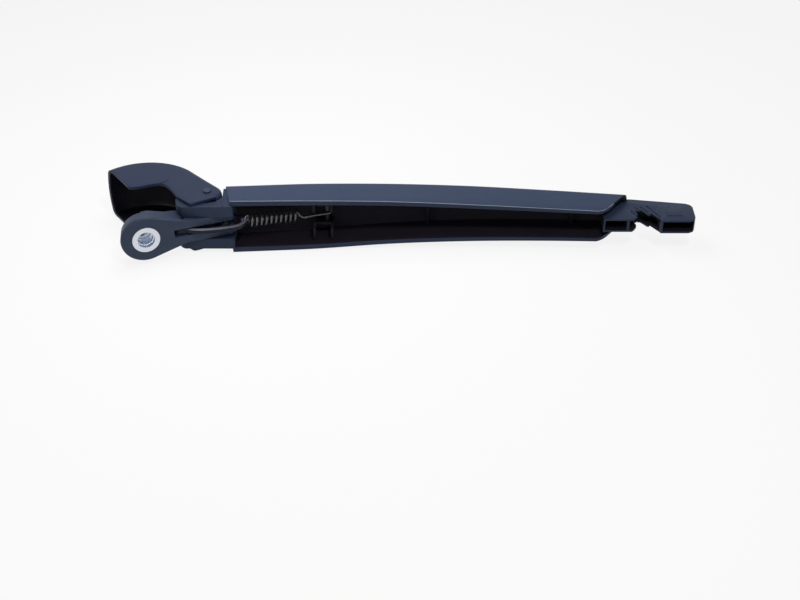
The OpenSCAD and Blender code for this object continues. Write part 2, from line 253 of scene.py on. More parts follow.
# Lower edge of the cheeks: below the dome from its rim corner, below the flat back, and round the pin
FEET_DOME = [(-32.4, -26.1), (-31.5, -25.75), (-30.7, -25.2), (-30.0, -24.3), (-28.6, -22), (-26.5, -17.2),
             (-25.1, -14.5), (-24.4, -13.5), (-23.6, -12.6), (-22.6, -11.95)]
FEET_BACK = [(-22.6, -11.95), (-21.5, -11.5), (-20.4, -11.2), (-19.2, -11.2), (-15, -11.9), (-7.6, -13.9),
             (-4, -14.1)]
FEET_PIN = [(-4, -14.1), (2, -14), (2.7, -13.85), (3.2, -13.5), (3.6, -12.95), (3.9, -12.3), (5.8, -6),
            (7.6, 0)]
NOTCH = (2.2, -1, 12, 9)
PIN_PLAY = 0.05
LEAST_INWARD = 7

# Insert, whose bore depth is in metres for the painted shade in its material
BORE_R = 4.5
BORE_DEPTH = 0.0122

# Spring: distances run from the link pin towards the anchor
SPRING_START = 32
COIL_START = SPRING_START + 1.6
COIL_LENGTH = 25.4
COIL_STEPS = 40
WIRE_SIDES = 12
ANCHOR_R = 1.6
HOOK_GAP = 0.1
HOOK_TURN = (250, 418)

# Stage: lamps by name, place, aim and size in metres, and watts
LAMPS = (
    ("top_lamp", (0.07, 0.05, 0.28), (0.07, 0, 0), 0.20, 0.56),
    ("left_lamp", (-0.45, -0.30, 0.22), (0, 0, 0), 0.2, 0.35),
    ("slope_lamp", (0.13, -0.46, 0.70), (0.13, -0.03, 0), 0.1, 2.2),
    ("front_lamp", (0.75, -0.95, 0.35), (0.13, 0, 0), 0.5, 0.4))
WHITE = (1, 1, 1, 1)
WORLD_FILL = 0.08
FLOOR_GLOW = 0.86
FLOOR_MIDDLE = 0.13
FLOOR_HALF_MM = 6000
# Camera: its place in the arm's frame in millimetres, and the photo's width and focal length in pixels
CAMERA_PLACE = (100.3, -643.9, 412.6)
CAMERA_ELEVATION = radians(36)
PICTURE_WIDTH = 800
FOCAL_PIXELS = 1453
SENSOR = 36
CLIP_END = 50


class Sizes(bpy.types.PropertyGroup):
    """Sizes that a user would change."""
    crown: bpy.props.FloatProperty(
        name="Crown", description="Height of the crown of the arm above its shoulders",
        default=0.0026, unit="LENGTH", precision=5)
    edge: bpy.props.FloatProperty(
        name="Edge radius", description="Radius of the moulded edges",
        default=0.0004, unit="LENGTH", precision=5)
    cover_wall: bpy.props.FloatProperty(
        name="Cover wall", description="Wall of the flip cover",
        default=0.0016, unit="LENGTH", precision=5)
    wire: bpy.props.FloatProperty(
        name="Spring wire", description="Diameter of the spring wire",
        default=0.0013, unit="LENGTH", precision=5)
    coil: bpy.props.FloatProperty(
        name="Spring coil", description="Outer diameter of the spring",
        default=0.0072, unit="LENGTH", precision=5)
    turns: bpy.props.IntProperty(
        name="Spring turns", description="Number of turns in the spring", default=10, min=1)


class Colours(bpy.types.PropertyGroup):
    """Colours that a user would change."""
    plastic: bpy.props.FloatVectorProperty(
        name="Arm plastic", description="Colour of the arm and the cover",
        subtype="COLOR", size=3, min=0, max=1, default=(0.038, 0.056, 0.106))
    head: bpy.props.FloatVectorProperty(
        name="Head plastic", description="Colour of the mounting head",
        subtype="COLOR", size=3, min=0, max=1, default=(0.031, 0.045, 0.080))
    steel: bpy.props.FloatVectorProperty(
        name="Bright steel", description="Colour of the plated insert",
        subtype="COLOR", size=3, min=0, max=1, default=(0.64, 0.66, 0.71))
    wire: bpy.props.FloatVectorProperty(
        name="Spring steel", description="Colour of the spring and the link",
        subtype="COLOR", size=3, min=0, max=1, default=(0.040, 0.042, 0.050))
    bush: bpy.props.FloatVectorProperty(
        name="Bush", description="Colour of the pivot bush",
        subtype="COLOR", size=3, min=0, max=1, default=(0.45, 0.33, 0.18))


# Node trees


class Value:
    """A socket that takes part in Python expressions and adds its Math nodes."""

    def __init__(self, tree, socket):
        self.tree = tree
        self.socket = socket

    def maths(self, operation, *others):
        node = self.tree.add("ShaderNodeMath", {"operation": operation},
                             dict(enumerate((self,) + others)))
        return self.tree.value(node)

    def __add__(self, other):
        return self.maths("ADD", other)

    def __sub__(self, other):
        return self.maths("SUBTRACT", other)

    def __mul__(self, other):
        return self.maths("MULTIPLY", other)

    def __truediv__(self, other):
        return self.maths("DIVIDE", other)

    __radd__ = __add__


class Tree:
    """A node tree with one way to add a node."""

    def __init__(self, tree):
        self.tree = tree

    def add(self, kind, settings=None, inputs=None):
        """Adds a node, makes its settings and then fills its sockets with values or links."""
        node = self.tree.nodes.new(kind)
        for key, setting in (settings or {}).items():
            if key == "stops":
                self.set_stops(node.color_ramp, setting)
            else:
                setattr(node, key, setting)
        for key, given in (inputs or {}).items():
            given = given.socket if isinstance(given, Value) else given
            if isinstance(given, bpy.types.NodeSocket):
                self.tree.links.new(given, node.inputs[key])
            else:
                node.inputs[key].default_value = given
        return node

    def value(self, node, output=0):
        return Value(self, node.outputs[output])

    @staticmethod
    def set_stops(ramp, stops):
        """Gives a ramp its stops, each a place and a grey or a colour."""
        while len(ramp.elements) < len(stops):
            ramp.elements.new(0.5)
        for element, (place, colour) in zip(ramp.elements, stops):
            element.position = place
            element.color = colour if isinstance(colour, tuple) else (colour, colour, colour, 1)


class Finish(Tree):
    """A material built node by node on object coordinates."""

    def __init__(self, name):
        self.material = bpy.data.materials.new(name)
        self.material.use_nodes = True
        super().__init__(self.material.node_tree)
        self.tree.nodes.clear()
        self.place = self.add("ShaderNodeTexCoord").outputs["Object"]

    def noise(self, scale, detail, roughness, stretch=None):
        """Noise in the range 0 to 1, with its scale in features a metre."""
        place = self.place
        if stretch:
            mapping = self.add("ShaderNodeMapping", None, {"Vector": place, "Scale": stretch})
            place = mapping.outputs["Vector"]
        node = self.add("ShaderNodeTexNoise", {"noise_dimensions": "3D"},
                        {"Vector": place, "Scale": scale, "Detail": detail, "Roughness": roughness})
        return self.value(node, "Fac")

    def ramp(self, value, stops):
        return self.value(self.add("ShaderNodeValToRGB", {"stops": stops}, {0: value}))

    def blend(self, factor, first, second):
        """Mix of two colours, whose sockets share their names with others and so go by number."""
        first_colour, second_colour, result = 6, 7, 2
        node = self.add("ShaderNodeMix", {"data_type": "RGBA"},
                        {"Factor": factor, first_colour: first, second_colour: second})
        return node.outputs[result]

    def bump(self, height, distance, strength, normal=None):
        inputs = {"Height": height, "Distance": distance, "Strength": strength}
        if normal:
            inputs["Normal"] = normal
        return self.add("ShaderNodeBump", None, inputs).outputs[0]

    def surface(self, **sockets):
        """The shader itself; sockets are named with underscores for spaces."""
        names = {name.replace("_", " "): given for name, given in sockets.items()}
        shader = self.add("ShaderNodeBsdfPrincipled", None, names)
        self.add("ShaderNodeOutputMaterial", None, {"Surface": shader.outputs[0]})
        return self.material


def shade(colour, gain):
    """A colour made darker or lighter."""
    return tuple(channel * gain for channel in colour)


def rgba(colour, gain=1.0):
    return shade(colour, gain) + (1.0,)


def plastic(name, colour, grain=1.0, shine=0.13, polish=0.0):
    """Black moulded plastic: fine grain, faint flow clouds, dust in the pores and rubbed patches."""
    finish = Finish(name)
    clouds = finish.noise(38, 3, 0.55)
    flow = finish.noise(120, 2, 0.5, (0.2, 1, 1))
    pores = finish.noise(2600, 2, 0.6)
    grains = finish.noise(5200, 1, 0.5)
    rubbed = finish.ramp(finish.noise(70, 4, 0.6), [(0.52, 0.0), (0.72, 1.0)])
    dust = finish.ramp(finish.noise(1900, 2, 0.7), [(0.66, 0.0), (0.74, 1.0)])
    tone = finish.blend(clouds, rgba(colour, 0.86), rgba(colour, 1.14))
    tone = finish.blend(dust * 0.10, tone, rgba((0.20, 0.22, 0.27)))
    rough = 0.44 + polish + clouds * 0.10 + (pores - 0.5) * 0.12 - rubbed * 0.07 + flow * 0.03
    normal = finish.bump(pores * 0.7 + grains * 0.5, 0.00003 * grain, 0.6)
    normal = finish.bump(flow, 0.00012, 0.25, normal)
    return finish.surface(Base_Color=tone, Roughness=rough, Normal=normal, Specular_IOR_Level=shine)


def metal(name, colour, rough, streak=(1, 1, 1), tarnish=0.25, depth=None):
    """Plain steel: marks along the streak, faint tarnish and small pits; a bore gets painted shade that
    deepens with depth.
    """
    finish = Finish(name)
    marks = finish.noise(1800, 3, 0.6, streak)
    stain = finish.ramp(finish.noise(260, 4, 0.6), [(0.42, 0.0), (0.75, 1.0)])
    pits = finish.noise(3400, 2, 0.6)
    tone = finish.blend(stain * tarnish, rgba(colour), rgba(colour, 0.45))
    # Painted shade: the bore darkens towards its deep end
    if depth:
        level = finish.value(finish.add("ShaderNodeSeparateXYZ", None, {"Vector": finish.place}), "Y")
        depth_shade = finish.ramp(level / depth, [(0.60, 0.0), (0.80, 1.0)])
        tone = finish.blend(depth_shade * 0.9, tone, rgba(colour, 0.12))
    roughness = rough + marks * 0.12 + stain * 0.10
    normal = finish.bump(marks + pits * 0.4, 0.00002, 0.5)
    return finish.surface(Base_Color=tone, Roughness=roughness, Normal=normal, Metallic=1.0)


def oiled(name, colour, rough, shine):
    """Dark oiled steel: drawn marks under a thin film that gives the shine."""
    finish = Finish(name)
    marks = finish.noise(1800, 3, 0.6, (0.3, 3, 3))
    tone = finish.blend(marks, rgba(colour, 0.7), rgba(colour, 1.3))
    normal = finish.bump(marks, 0.00002, 0.4)
    rough = rough + marks * 0.08
    return finish.surface(Base_Color=tone, Roughness=rough, Normal=normal, Specular_IOR_Level=shine)


def make_finishes():
    """All materials of the arm, by name."""
    colours = bpy.context.scene.wiper_colours
    return {
        "arm": plastic("arm_plastic", colours.plastic),
        # Painted shade: a near-black copy of the plastic for the roof of the channel and the connector's
        # pockets
        "inside": plastic("inside_painted_shade", (0.013, 0.011, 0.017), 1.0, 0.07),
        # Painted shade, lighter than the roof's: the channel's two side walls
        "side_painted_shade": plastic("side_painted_shade_plastic", (0.018, 0.014, 0.022), 1.0, 0.08),
        # Painted shade: a near-black plastic for the webs, rails, ribs and the fold pin's sides
        "web": plastic("web_painted_shade", (0.014, 0.013, 0.019), 1.0, 0.06),
        # Painted shade: a near-black, glossier plastic for the cover's inner faces
        "painted_shade_liner": plastic("liner_painted_shade", (0.010, 0.010, 0.016), 0.3, 0.10, -0.24),
        # Painted highlight: a light plastic on the rim's outer round
        "edge": plastic("edge_painted_highlight", (0.26, 0.29, 0.37), 0.3, 0.5, -0.14),
        "cover": plastic("cover_plastic", (0.021, 0.031, 0.066), 1.0, 0.14),
        # Painted light and painted shade: the bore is a lighter copy of the steel, darkened with depth
        "bore": metal("plated_bore_painted_light_and_shade", (0.78, 0.85, 0.97), 0.22, tarnish=0.05, depth=BORE_DEPTH),
        # Partly painted highlight: the link's flat flanks are lighter than its edges, as on rolled strip,
        # and also stand in for its lit top line
        "flank_with_painted_highlight": oiled("link_flank_with_painted_highlight", (0.19, 0.20, 0.26), 0.3, 0.5),
        # Painted shade: a darker copy of the arm plastic for the collar, lips, ears and glass-facing flats
        "root": plastic("root_painted_shade", shade(colours.plastic, 0.62)),
        # Painted shade: a darker copy of the arm plastic for the blade connector
        "tip": plastic("tip_painted_shade", shade(colours.plastic, 0.74)),
        "head": plastic("head_plastic", colours.head, 1.4, 0.2),
        "steel": metal("plated_steel", colours.steel, 0.26, tarnish=0.05),
        "wire": oiled("spring_wire", colours.wire, 0.14, 0.8),
        "link": oiled("link_steel", (0.012, 0.015, 0.024), 0.3, 0.12),
        "pin": metal("pin_steel", shade(colours.wire, 0.8), 0.3, (3, 3, 0.3)),
        "black": plastic("black_coat", colours.head, 0.5, 0.2),
        "bush": metal("bush_bronze", colours.bush, 0.4),
    }


FINISHES = {}


# Shapes


def new_object(name, bm, place):
    """Object from a bmesh in millimetres, moved into its place in metres."""
    bmesh.ops.recalc_face_normals(bm, faces=bm.faces)
    bmesh.ops.transform(bm, matrix=place, verts=bm.verts)
    mesh = bpy.data.meshes.new(name)
    bm.to_mesh(mesh)
    bm.free()
    obj = bpy.data.objects.new(name, mesh)
    bpy.context.scene.collection.objects.link(obj)
    return obj


def loft(name, rings, place):
    """Closed solid through rings of equal, even length; each end is closed across its two halves."""
    bm = bmesh.new()
    rows = [[bm.verts.new(point) for point in ring] for ring in rings]
    count = len(rows[0])
    for row, after in zip(rows, rows[1:]):
        for j in range(count):
            k = (j + 1) % count
            bm.faces.new((row[j], row[k], after[k], after[j]))
    for row in (rows[0], rows[-1]):
        for j in range(count // 2 - 1):
            bm.faces.new((row[j], row[j + 1], row[count - 2 - j], row[count - 1 - j]))
    return new_object(name, bm, place)


def slab(name, outline, low, high, place):
    """Flat solid of a closed outline between two distances from the middle plane."""
    bm = bmesh.new()
    floor = [bm.verts.new((x, y, low)) for x, y in outline]
    roof = [bm.verts.new((x, y, high)) for x, y in outline]
    bm.faces.new(floor)
    bm.faces.new(roof)
    for j, corner in enumerate(floor):
        k = (j + 1) % len(floor)
        bm.faces.new((corner, floor[k], roof[k], roof[j]))
    return new_object(name, bm, place)


def lathe(name, profile, place, steps):
    """Solid of revolution about local Z from a closed profile of radius and height."""
    bm = bmesh.new()
    rows = []
    for i in range(steps):
        turn = 2 * pi * i / steps
        rows.append([bm.verts.new((r * cos(turn), r * sin(turn), h)) for r, h in profile])
    for i, row in enumerate(rows):
        after = rows[(i + 1) % steps]
        for j in range(len(profile)):
            k = (j + 1) % len(profile)
            bm.faces.new((row[j], row[k], after[k], after[j]))
    bmesh.ops.remove_doubles(bm, verts=bm.verts, dist=WELD_MM)
    return new_object(name, bm, place)


def arc(centre, radius, start, end, steps):
    """Points on an arc, angles in degrees."""
    turns = [radians(start + (end - start) * i / steps) for i in range(steps + 1)]
    return [(centre[0] + radius * cos(t), centre[1] + radius * sin(t)) for t in turns]


def box_outline(x0, y0, x1, y1):
    return [(x0, y0), (x1, y0), (x1, y1), (x0, y1)]


def bake(obj):
    """Turns an object's modifiers into plain mesh."""
    graph = bpy.context.evaluated_depsgraph_get()
    mesh = bpy.data.meshes.new_from_object(obj.evaluated_get(graph), depsgraph=graph)
    old = obj.data
    obj.modifiers.clear()
    obj.data = mesh
    bpy.data.meshes.remove(old)


def combine(obj, others, operation):
    """Boolean of an object with others, which are used up."""
    for other in others:
        modifier = obj.modifiers.new("cut", "BOOLEAN")
        modifier.operation = operation
        modifier.solver = "EXACT"
        modifier.object = other
        bake(obj)
        bpy.data.objects.remove(other)


def tidy(obj):
    """Merges doubles and melts the seams inside flat faces."""
    bm = bmesh.new()
    bm.from_mesh(obj.data)
    bmesh.ops.remove_doubles(bm, verts=bm.verts, dist=WELD)
    bmesh.ops.dissolve_degenerate(bm, edges=bm.edges, dist=WELD)
    bmesh.ops.dissolve_limit(bm, angle_limit=FLAT, verts=bm.verts, edges=bm.edges)
    bm.to_mesh(obj.data)
    bm.free()


def round_edges(obj, width):
    """Rounds the sharp edges of a piece."""
    bevel = obj.modifiers.new("edges", "BEVEL")
    bevel.width = width
    bevel.segments = EDGE_STEPS
    bevel.limit_method = "ANGLE"
    bevel.angle_limit = EDGE_LIMIT
    bevel.use_clamp_overlap = True
    bevel.miter_outer = "MITER_ARC"
    bake(obj)


def dress(obj, finish, body, nodes, edge=None):
    """Rounds the edges, smooths the faces and hands the piece to its body."""
    if edge:
        round_edges(obj, edge)
    mesh = obj.data
    mesh.polygons.foreach_set("use_smooth", [True] * len(mesh.polygons))
    mesh.set_sharp_from_angle(angle=SMOOTH_LIMIT)
    mesh.materials.clear()
    mesh.materials.append(FINISHES[finish])
    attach(obj, body)
    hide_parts(*nodes)
    return obj


def part_finish(obj, place, finish, test):
    """Gives a finish of their own to the faces whose place and normal, in a local frame, pass a test."""
    obj.data.materials.append(FINISHES[finish])
    back = place.inverted()
    turn = back.to_3x3().normalized()
    for face in obj.data.polygons:
        if test(back @ face.center, turn @ face.normal):
            face.material_index = len(obj.data.materials) - 1


def copy_of(node):
    """Merged copy of a frame node's mesh, for a piece that keeps the node's shape."""
    source = frame["nodes"][node]
    obj = bpy.data.objects.new(node + "_dressed", source.data.copy())
    bpy.context.scene.collection.objects.link(obj)
    tidy(obj)
    return obj


# Sections of the arm and the cover


def mix(first, second, share):
    return first + (second - first) * share


def catmull(p, q, r, s, t):
    """Smooth value between q and r."""
    return (2 * q + (r - p) * t + (2 * p - 5 * q + 4 * r - s) * t ** 2
            + (3 * q - p - 3 * r + s) * t ** 3) / 2


def section(a):
    """Rim level, shoulder level and half width of the arm at distance a from the fold pin."""
    place = (a - SECTION_START) / SECTION_STEP
    i = max(0, min(len(SECTIONS) - 2, int(place // 1)))

    def row(k):
        if k < 0:
            return [2 * x - y for x, y in zip(SECTIONS[0], SECTIONS[1])]
        if k >= len(SECTIONS):
            return [2 * x - y for x, y in zip(SECTIONS[-1], SECTIONS[-2])]
        return SECTIONS[k]

    return [catmull(*values, place - i) for values in zip(row(i - 1), row(i), row(i + 1), row(i + 2))]


def wall_at(a):
    return mix(WALL_ROOT, WALL_TIP, (a - SECTION_START) / (SECTION_STEP * (len(SECTIONS) - 1)))


def crown_at(a):
    crown = bpy.context.scene.wiper_sizes.crown / MM
    return crown * min(1, CROWN_START + (a - SKIN_START) / CROWN_RUN)


def roof_level(z, half, rise):
    return rise * (1 - (z / half) ** 2)


def half_hood(rim, top, half, radius, rise):
    """One side of a crowned hood, from the rim over the shoulder to the middle of the crown."""
    inner = half - radius
    base = top + roof_level(inner, half, rise) - radius
    side = [(half, mix(rim, base, share)) for share in SIDE_SHARES]
    shoulder = arc((inner, base), radius, 0, SHOULDER_TURN, SHOULDER_STEPS)
    roof = [(inner * k, top + roof_level(inner * k, half, rise)) for k in ROOF_SHARES]
    return side + shoulder + roof


def hood(rim, top, half, radius, rise, wall):
    """Closed outline of a hood with an even wall."""
    outer = half_hood(rim, top, half, radius, rise)
    inner = half_hood(rim, top - wall, half - wall, max(radius - wall, LEAST_R), rise)

    def both(points):
        return points + [(-z, h) for z, h in reversed(points[:-1])]

    return both(outer) + both(inner)[::-1]


def rim_lift(a):
    """Rise of the rim in the rounded corner at the end of the skin."""
    past = max(0, a - SKIN_END + TIP_CORNER)
    return TIP_CORNER - (TIP_CORNER ** 2 - min(past, TIP_CORNER) ** 2) ** 0.5


def slanted(a, level):
    """Place along the arm of a point at a level: the skin leans at its two ends."""
    root = max(0, 1 - (a - SKIN_START) / SLANT_FADE)
    tip = max(0, 1 - (SKIN_END - a) / SLANT_FADE)
    return a + (level - SLANT_LEVEL) * (ROOT_SLANT * root + TIP_SLANT * tip)


def arm_ring(a, inset=0.0, lean=True, raised=0.0):
    """Ring of the arm's shell at distance a from the fold pin."""
    rim, shoulder, half = section(a)
    lift = rim_lift(a) + raised
    wall = wall_at(a)
    outline = hood(rim + lift, shoulder - inset, half - inset, SHOULDER_R, crown_at(a), wall)
    ring = []
    for index, (z, level) in enumerate(outline):
        along = slanted(a, level) if lean else a
        if lean and along != a:
            rim, shoulder, half = section(along)
            leaning = hood(rim + lift, shoulder - inset, half - inset, SHOULDER_R, crown_at(along), wall)
            z, level = leaning[index]
        ring.append((along, level, z))
    return ring


def collar_ring(a):
    """Ring of the collar, whose sides lean in from the shoulder down to the ears."""
    rim, shoulder, half = section(a)
    foot = (EAR_OUT + COLLAR_FOOT) / (half - COLLAR_INSET)
    ring = []
    for along, level, z in arm_ring(a, COLLAR_INSET, False, EAR_FLOOR + COLLAR_FOOT - rim):
        share = min(1, (level - EAR_FLOOR) / (shoulder - SHOULDER_R - EAR_FLOOR))
        ring.append((along, level, z * mix(foot, 1, share)))
    return ring


def cover_station(u):
    """Point and outward normal of the back: u is -1 to 0 on the dome, to 1 on the flat, to 2 on the bend."""
    if u <= 0:
        turn = radians(90 - 90 * u)
        normal = (cos(turn), sin(turn))
        radius = DOME_R - DOME_SPREAD * u
        return (radius * normal[0] - DOME_X, radius * normal[1] + BACK - DOME_R), normal
    if u <= 1:
        return (mix(-DOME_X, 0, u), BACK), (0, 1)
    turn = radians(90 * (2 - u))
    normal = (cos(turn), sin(turn))
    return (BACK * normal[0], BACK * normal[1]), normal


def cover_rise(u):
    """Rise of the crown across the cover's back."""
    if u <= 0:
        return mix(RISE_BEND, RISE_RIM, -u)
    return RISE_PIN + (RISE_BEND - RISE_PIN) * max(0, 1 - u) ** 2


def point_along(points, share):
    """Point at a share of the length of an open line."""
    lengths = [dist(p, q) for p, q in zip(points, points[1:])]
    left = share * sum(lengths)
    for length, p, q in zip(lengths, points, points[1:]):
        if left <= length:
            break
        left -= length
    return tuple(mix(a, b, min(1, left / length)) for a, b in zip(p, q))


def cheek_foot(u):
    """Point on the lower edge of the cheek below a station of the back."""
    if u <= 0:
        return point_along(FEET_DOME, u + 1)
    if u <= 1:
        return point_along(FEET_BACK, u)
    return point_along(FEET_PIN, u - 1)


def cover_ring(u, wall):
    """Ring of the cover: two cheeks and the crowned back."""
    (x, y), (nx, ny) = cover_station(u)
    foot = cheek_foot(u)
    rise = cover_rise(u)

    def side(half, top, radius):
        points = half_hood(0, top, half, radius, rise)[len(SIDE_SHARES):]
        lifted = [(x + nx * h, y + ny * h, z) for z, h in points]
        leg = []
        for k in range(CHEEK_STEPS):
            share = k / CHEEK_STEPS
            leg.append((mix(foot[0], lifted[0][0], share), mix(foot[1], lifted[0][1], share), half))
        return leg + lifted

    def both(points):
        return points + [(px, py, -pz) for px, py, pz in reversed(points[:-1])]

    shoulder = COVER_SHOULDER + DOME_SHOULDER * max(0, -u)
    outer = both(side(COVER_HALF, 0, shoulder))
    inner = both(side(COVER_HALF - wall, -wall, max(shoulder - wall, LEAST_R)))
    return outer + inner[::-1]


# Cutters and operators


def rod(name, radius, low, high, place):
    """Round cutter between two heights."""
    return lathe(name, [(0, low), (radius, low), (radius, high), (0, high)], place, ROD_STEPS)


def link_groove():
    """Cutter of the groove inside the root, which the link enters when the arm is lifted."""
    outline = box_outline(0, GROOVE_FLOOR, GROOVE_END, GROOVE_TOP)
    return slab("groove", outline, -GROOVE_HALF, GROOVE_HALF, ARM_FRAME)


def spring_room():
    """Cutter of the room inside the root that the spring needs when the arm is lifted."""
    swing = SPRING_SWING * JOINTS["arm_lift"]["range_deg"][1] * pi / 180
    lifted = Matrix.Rotation(swing, 3, "Z") @ -SPRING_LINE
    place = Matrix.Translation(ANCHOR) @ lifted.to_track_quat("Z", "Y").to_matrix().to_4x4() @ TO_METRES
    return rod("spring_room", ROOM_R, ROOM_NEAR, ROOM_FAR, place)


class WIPER_OT_arm_skin(bpy.types.Operator):
    """Builds the crowned outer skin of the arm"""
    bl_idname = "wiper.arm_skin"
    bl_label = "Arm Skin"

    def execute(self, context):
        stations = [mix(SKIN_START, SKIN_END - TIP_CORNER, i / SKIN_STEPS) for i in range(SKIN_STEPS)]
        turns = [radians(90 * i / CORNER_STEPS) for i in range(CORNER_STEPS + 1)]
        stations += [SKIN_END - TIP_CORNER * cos(turn) for turn in turns]
        skin = loft("arm_skin", [arm_ring(a) for a in stations], ARM_FRAME)
        combine(skin, [link_groove()], "DIFFERENCE")
        round_edges(skin, context.scene.wiper_sizes.edge)
        combine(skin, [spring_room()], "DIFFERENCE")
        dress(skin, "arm", "arm", ["arm_body"])
        # The roof of the channel and its two sides get painted shade, the flat of the rim a darker painted
        # shade and the rim's outer round a painted highlight
        part_finish(skin, ARM_FRAME, "inside", lambda p, n: n.y < -0.3 and p.y > RIM_LEVEL)
        part_finish(skin, ARM_FRAME, "side_painted_shade", lambda p, n: n.z * p.z < -0.5 * abs(p.z))
        part_finish(skin, ARM_FRAME, "root", lambda p, n: n.y < -0.7 and p.y < RIM_LEVEL)
        part_finish(skin, ARM_FRAME, "edge",
                    lambda p, n: -0.85 < n.y < -0.15 and p.y < RIM_LEVEL and n.z * p.z > 0)
        return {"FINISHED"}


class WIPER_OT_arm_root(bpy.types.Operator):
    """Builds the collar and the two ears that hold the fold pin"""
    bl_idname = "wiper.arm_root"
    bl_label = "Arm Root"

    def execute(self, context):
        edge = context.scene.wiper_sizes.edge
        # The collar, its lips and the ears take the root finish: the arm plastic darkened as painted shade
        collar = loft("arm_collar", [collar_ring(a) for a in COLLAR_STATIONS], ARM_FRAME)
        combine(collar, [link_groove()], "DIFFERENCE")
        dress(collar, "root", "arm", ["arm_body"], edge)
        outline = box_outline(LIP_FRONT, -LIP_HALF, LIP_BACK, LIP_HALF)
        for side, low, high in (("upper", LIP_IN, LIP_OUT), ("lower", -LIP_OUT, -LIP_IN)):
            lip = slab("collar_lip_" + side, outline, low, high, ARM_FRAME)
            dress(lip, "root", "arm", ["arm_body"])
        hub = arc((0, 0), HUB_R, *HUB_ARC)
        front = [(EAR_END, EAR_FLOOR), (EAR_END, EAR_TOP)] + arc((0, 0), CHANNEL_R, *CHANNEL_ARC)
        outline = hub[-1:] + EAR_BACK + front + hub[:-1]
        reach = EAR_IN + RELIEF_DEPTH
        for side, low, high in (("upper", EAR_IN, EAR_OUT), ("lower", -EAR_OUT, -EAR_IN)):
            ear = slab("ear_" + side, outline, low, high, ARM_FRAME)
            relief = slab("relief", box_outline(*RELIEF), -reach, reach, ARM_FRAME)
            hole = rod("pin_hole", PIN_R, -HOLE_HALF, HOLE_HALF, ARM_FRAME)
            combine(ear, [hole, relief], "DIFFERENCE")
            tidy(ear)
            dress(ear, "root", "arm", ["arm_body"], edge)
        return {"FINISHED"}


class WIPER_OT_arm_webs(bpy.types.Operator):
    """Builds the webs inside the channel: two notched webs with rails at the anchor pin, and the low ribs"""
    bl_idname = "wiper.arm_webs"
    bl_label = "Arm Webs"

    def execute(self, context):
        edge = context.scene.wiper_sizes.edge / 2
        # Painted shade: the webs, rails and ribs all take the near-black web finish
        for name, a in WEBS:
            shoulder, half = section(a)[1:]
            near, far = a - WEB / 2, a + WEB / 2
            outline = box_outline(near, WEB_FOOT, far, shoulder - WEB_TOP)
            bits = [slab("web", outline, low, high, ARM_FRAME)
                    for low, high in ((RAIL_NEAR, half - SIDE_LAP), (SIDE_LAP - half, -RAIL_NEAR))]
            outline = box_outline(near, shoulder - WEB_ROOF[0], far, shoulder - WEB_ROOF[1])
            roof = slab("anchor_web_" + name, outline, -RAIL_NEAR - WEB_LAP, RAIL_NEAR + WEB_LAP, ARM_FRAME)
            combine(roof, bits, "UNION")
            tidy(roof)
            dress(roof, "web", "arm", ["arm_body"], edge)
        outline = box_outline(WEBS[0][1], RAIL_LEVELS[0], WEBS[1][1], RAIL_LEVELS[1])
        for name, low, high in (("upper", RAIL_NEAR, RAIL_FAR), ("lower", -RAIL_FAR, -RAIL_NEAR)):
            rail = slab("anchor_rail_" + name, outline, low, high, ARM_FRAME)
            dress(rail, "web", "arm", ["arm_body"], edge)
        for name, a in RIBS:
            shoulder, half = section(a)[1:]
            outline = box_outline(a - RIB / 2, shoulder - RIB_DEPTH, a + RIB / 2, shoulder)
            rib = slab("channel_rib_" + name, outline, SIDE_LAP - half, half - SIDE_LAP, ARM_FRAME)
            dress(rib, "web", "arm", ["arm_body"], edge)
        return {"FINISHED"}


class WIPER_OT_connector(bpy.types.Operator):
    """Builds the notched blade connector at the tip"""
    bl_idname = "wiper.connector"
    bl_label = "Blade Connector"

    def execute(self, context):
        tip = slab("blade_connector", CONNECTOR, -TIP_HALF, TIP_HALF, ARM_FRAME)
        inner = TIP_HALF - TIP_WALL
        cuts = [slab("pocket", box_outline(x0, POCKET_FLOOR, x1, POCKET_TOP), -inner, inner, ARM_FRAME)
                for x0, x1 in POCKETS]
        for shape in SLITS:
            for side in (-1, 1):
                low, high = sorted((side * (TIP_HALF - SLIT_DEPTH), side * (TIP_HALF + 1)))
                cuts.append(slab("slit", shape, low, high, ARM_FRAME))
        combine(tip, cuts, "DIFFERENCE")
        pads = [slab("pad", box_outline(*PAD), level - PAD_HEIGHT, level + PAD_HEIGHT, ARM_FRAME)
                for level in (-TIP_HALF, TIP_HALF)]
        combine(tip, pads, "UNION")
        tidy(tip)
        dress(tip, "tip", "arm", ["arm_body"], context.scene.wiper_sizes.edge * TIP_EDGE)
        # Painted shade: the glass-facing flats take the darker root finish and the pockets the near-black
        # inside finish
        part_finish(tip, ARM_FRAME, "root", lambda p, n: n.y < -0.7)
        part_finish(tip, ARM_FRAME, "inside",
                    lambda p, n: abs(p.z) < inner + 0.05 and POCKET_MOUTH < p.y < POCKET_TOP + 0.1)
        return {"FINISHED"}


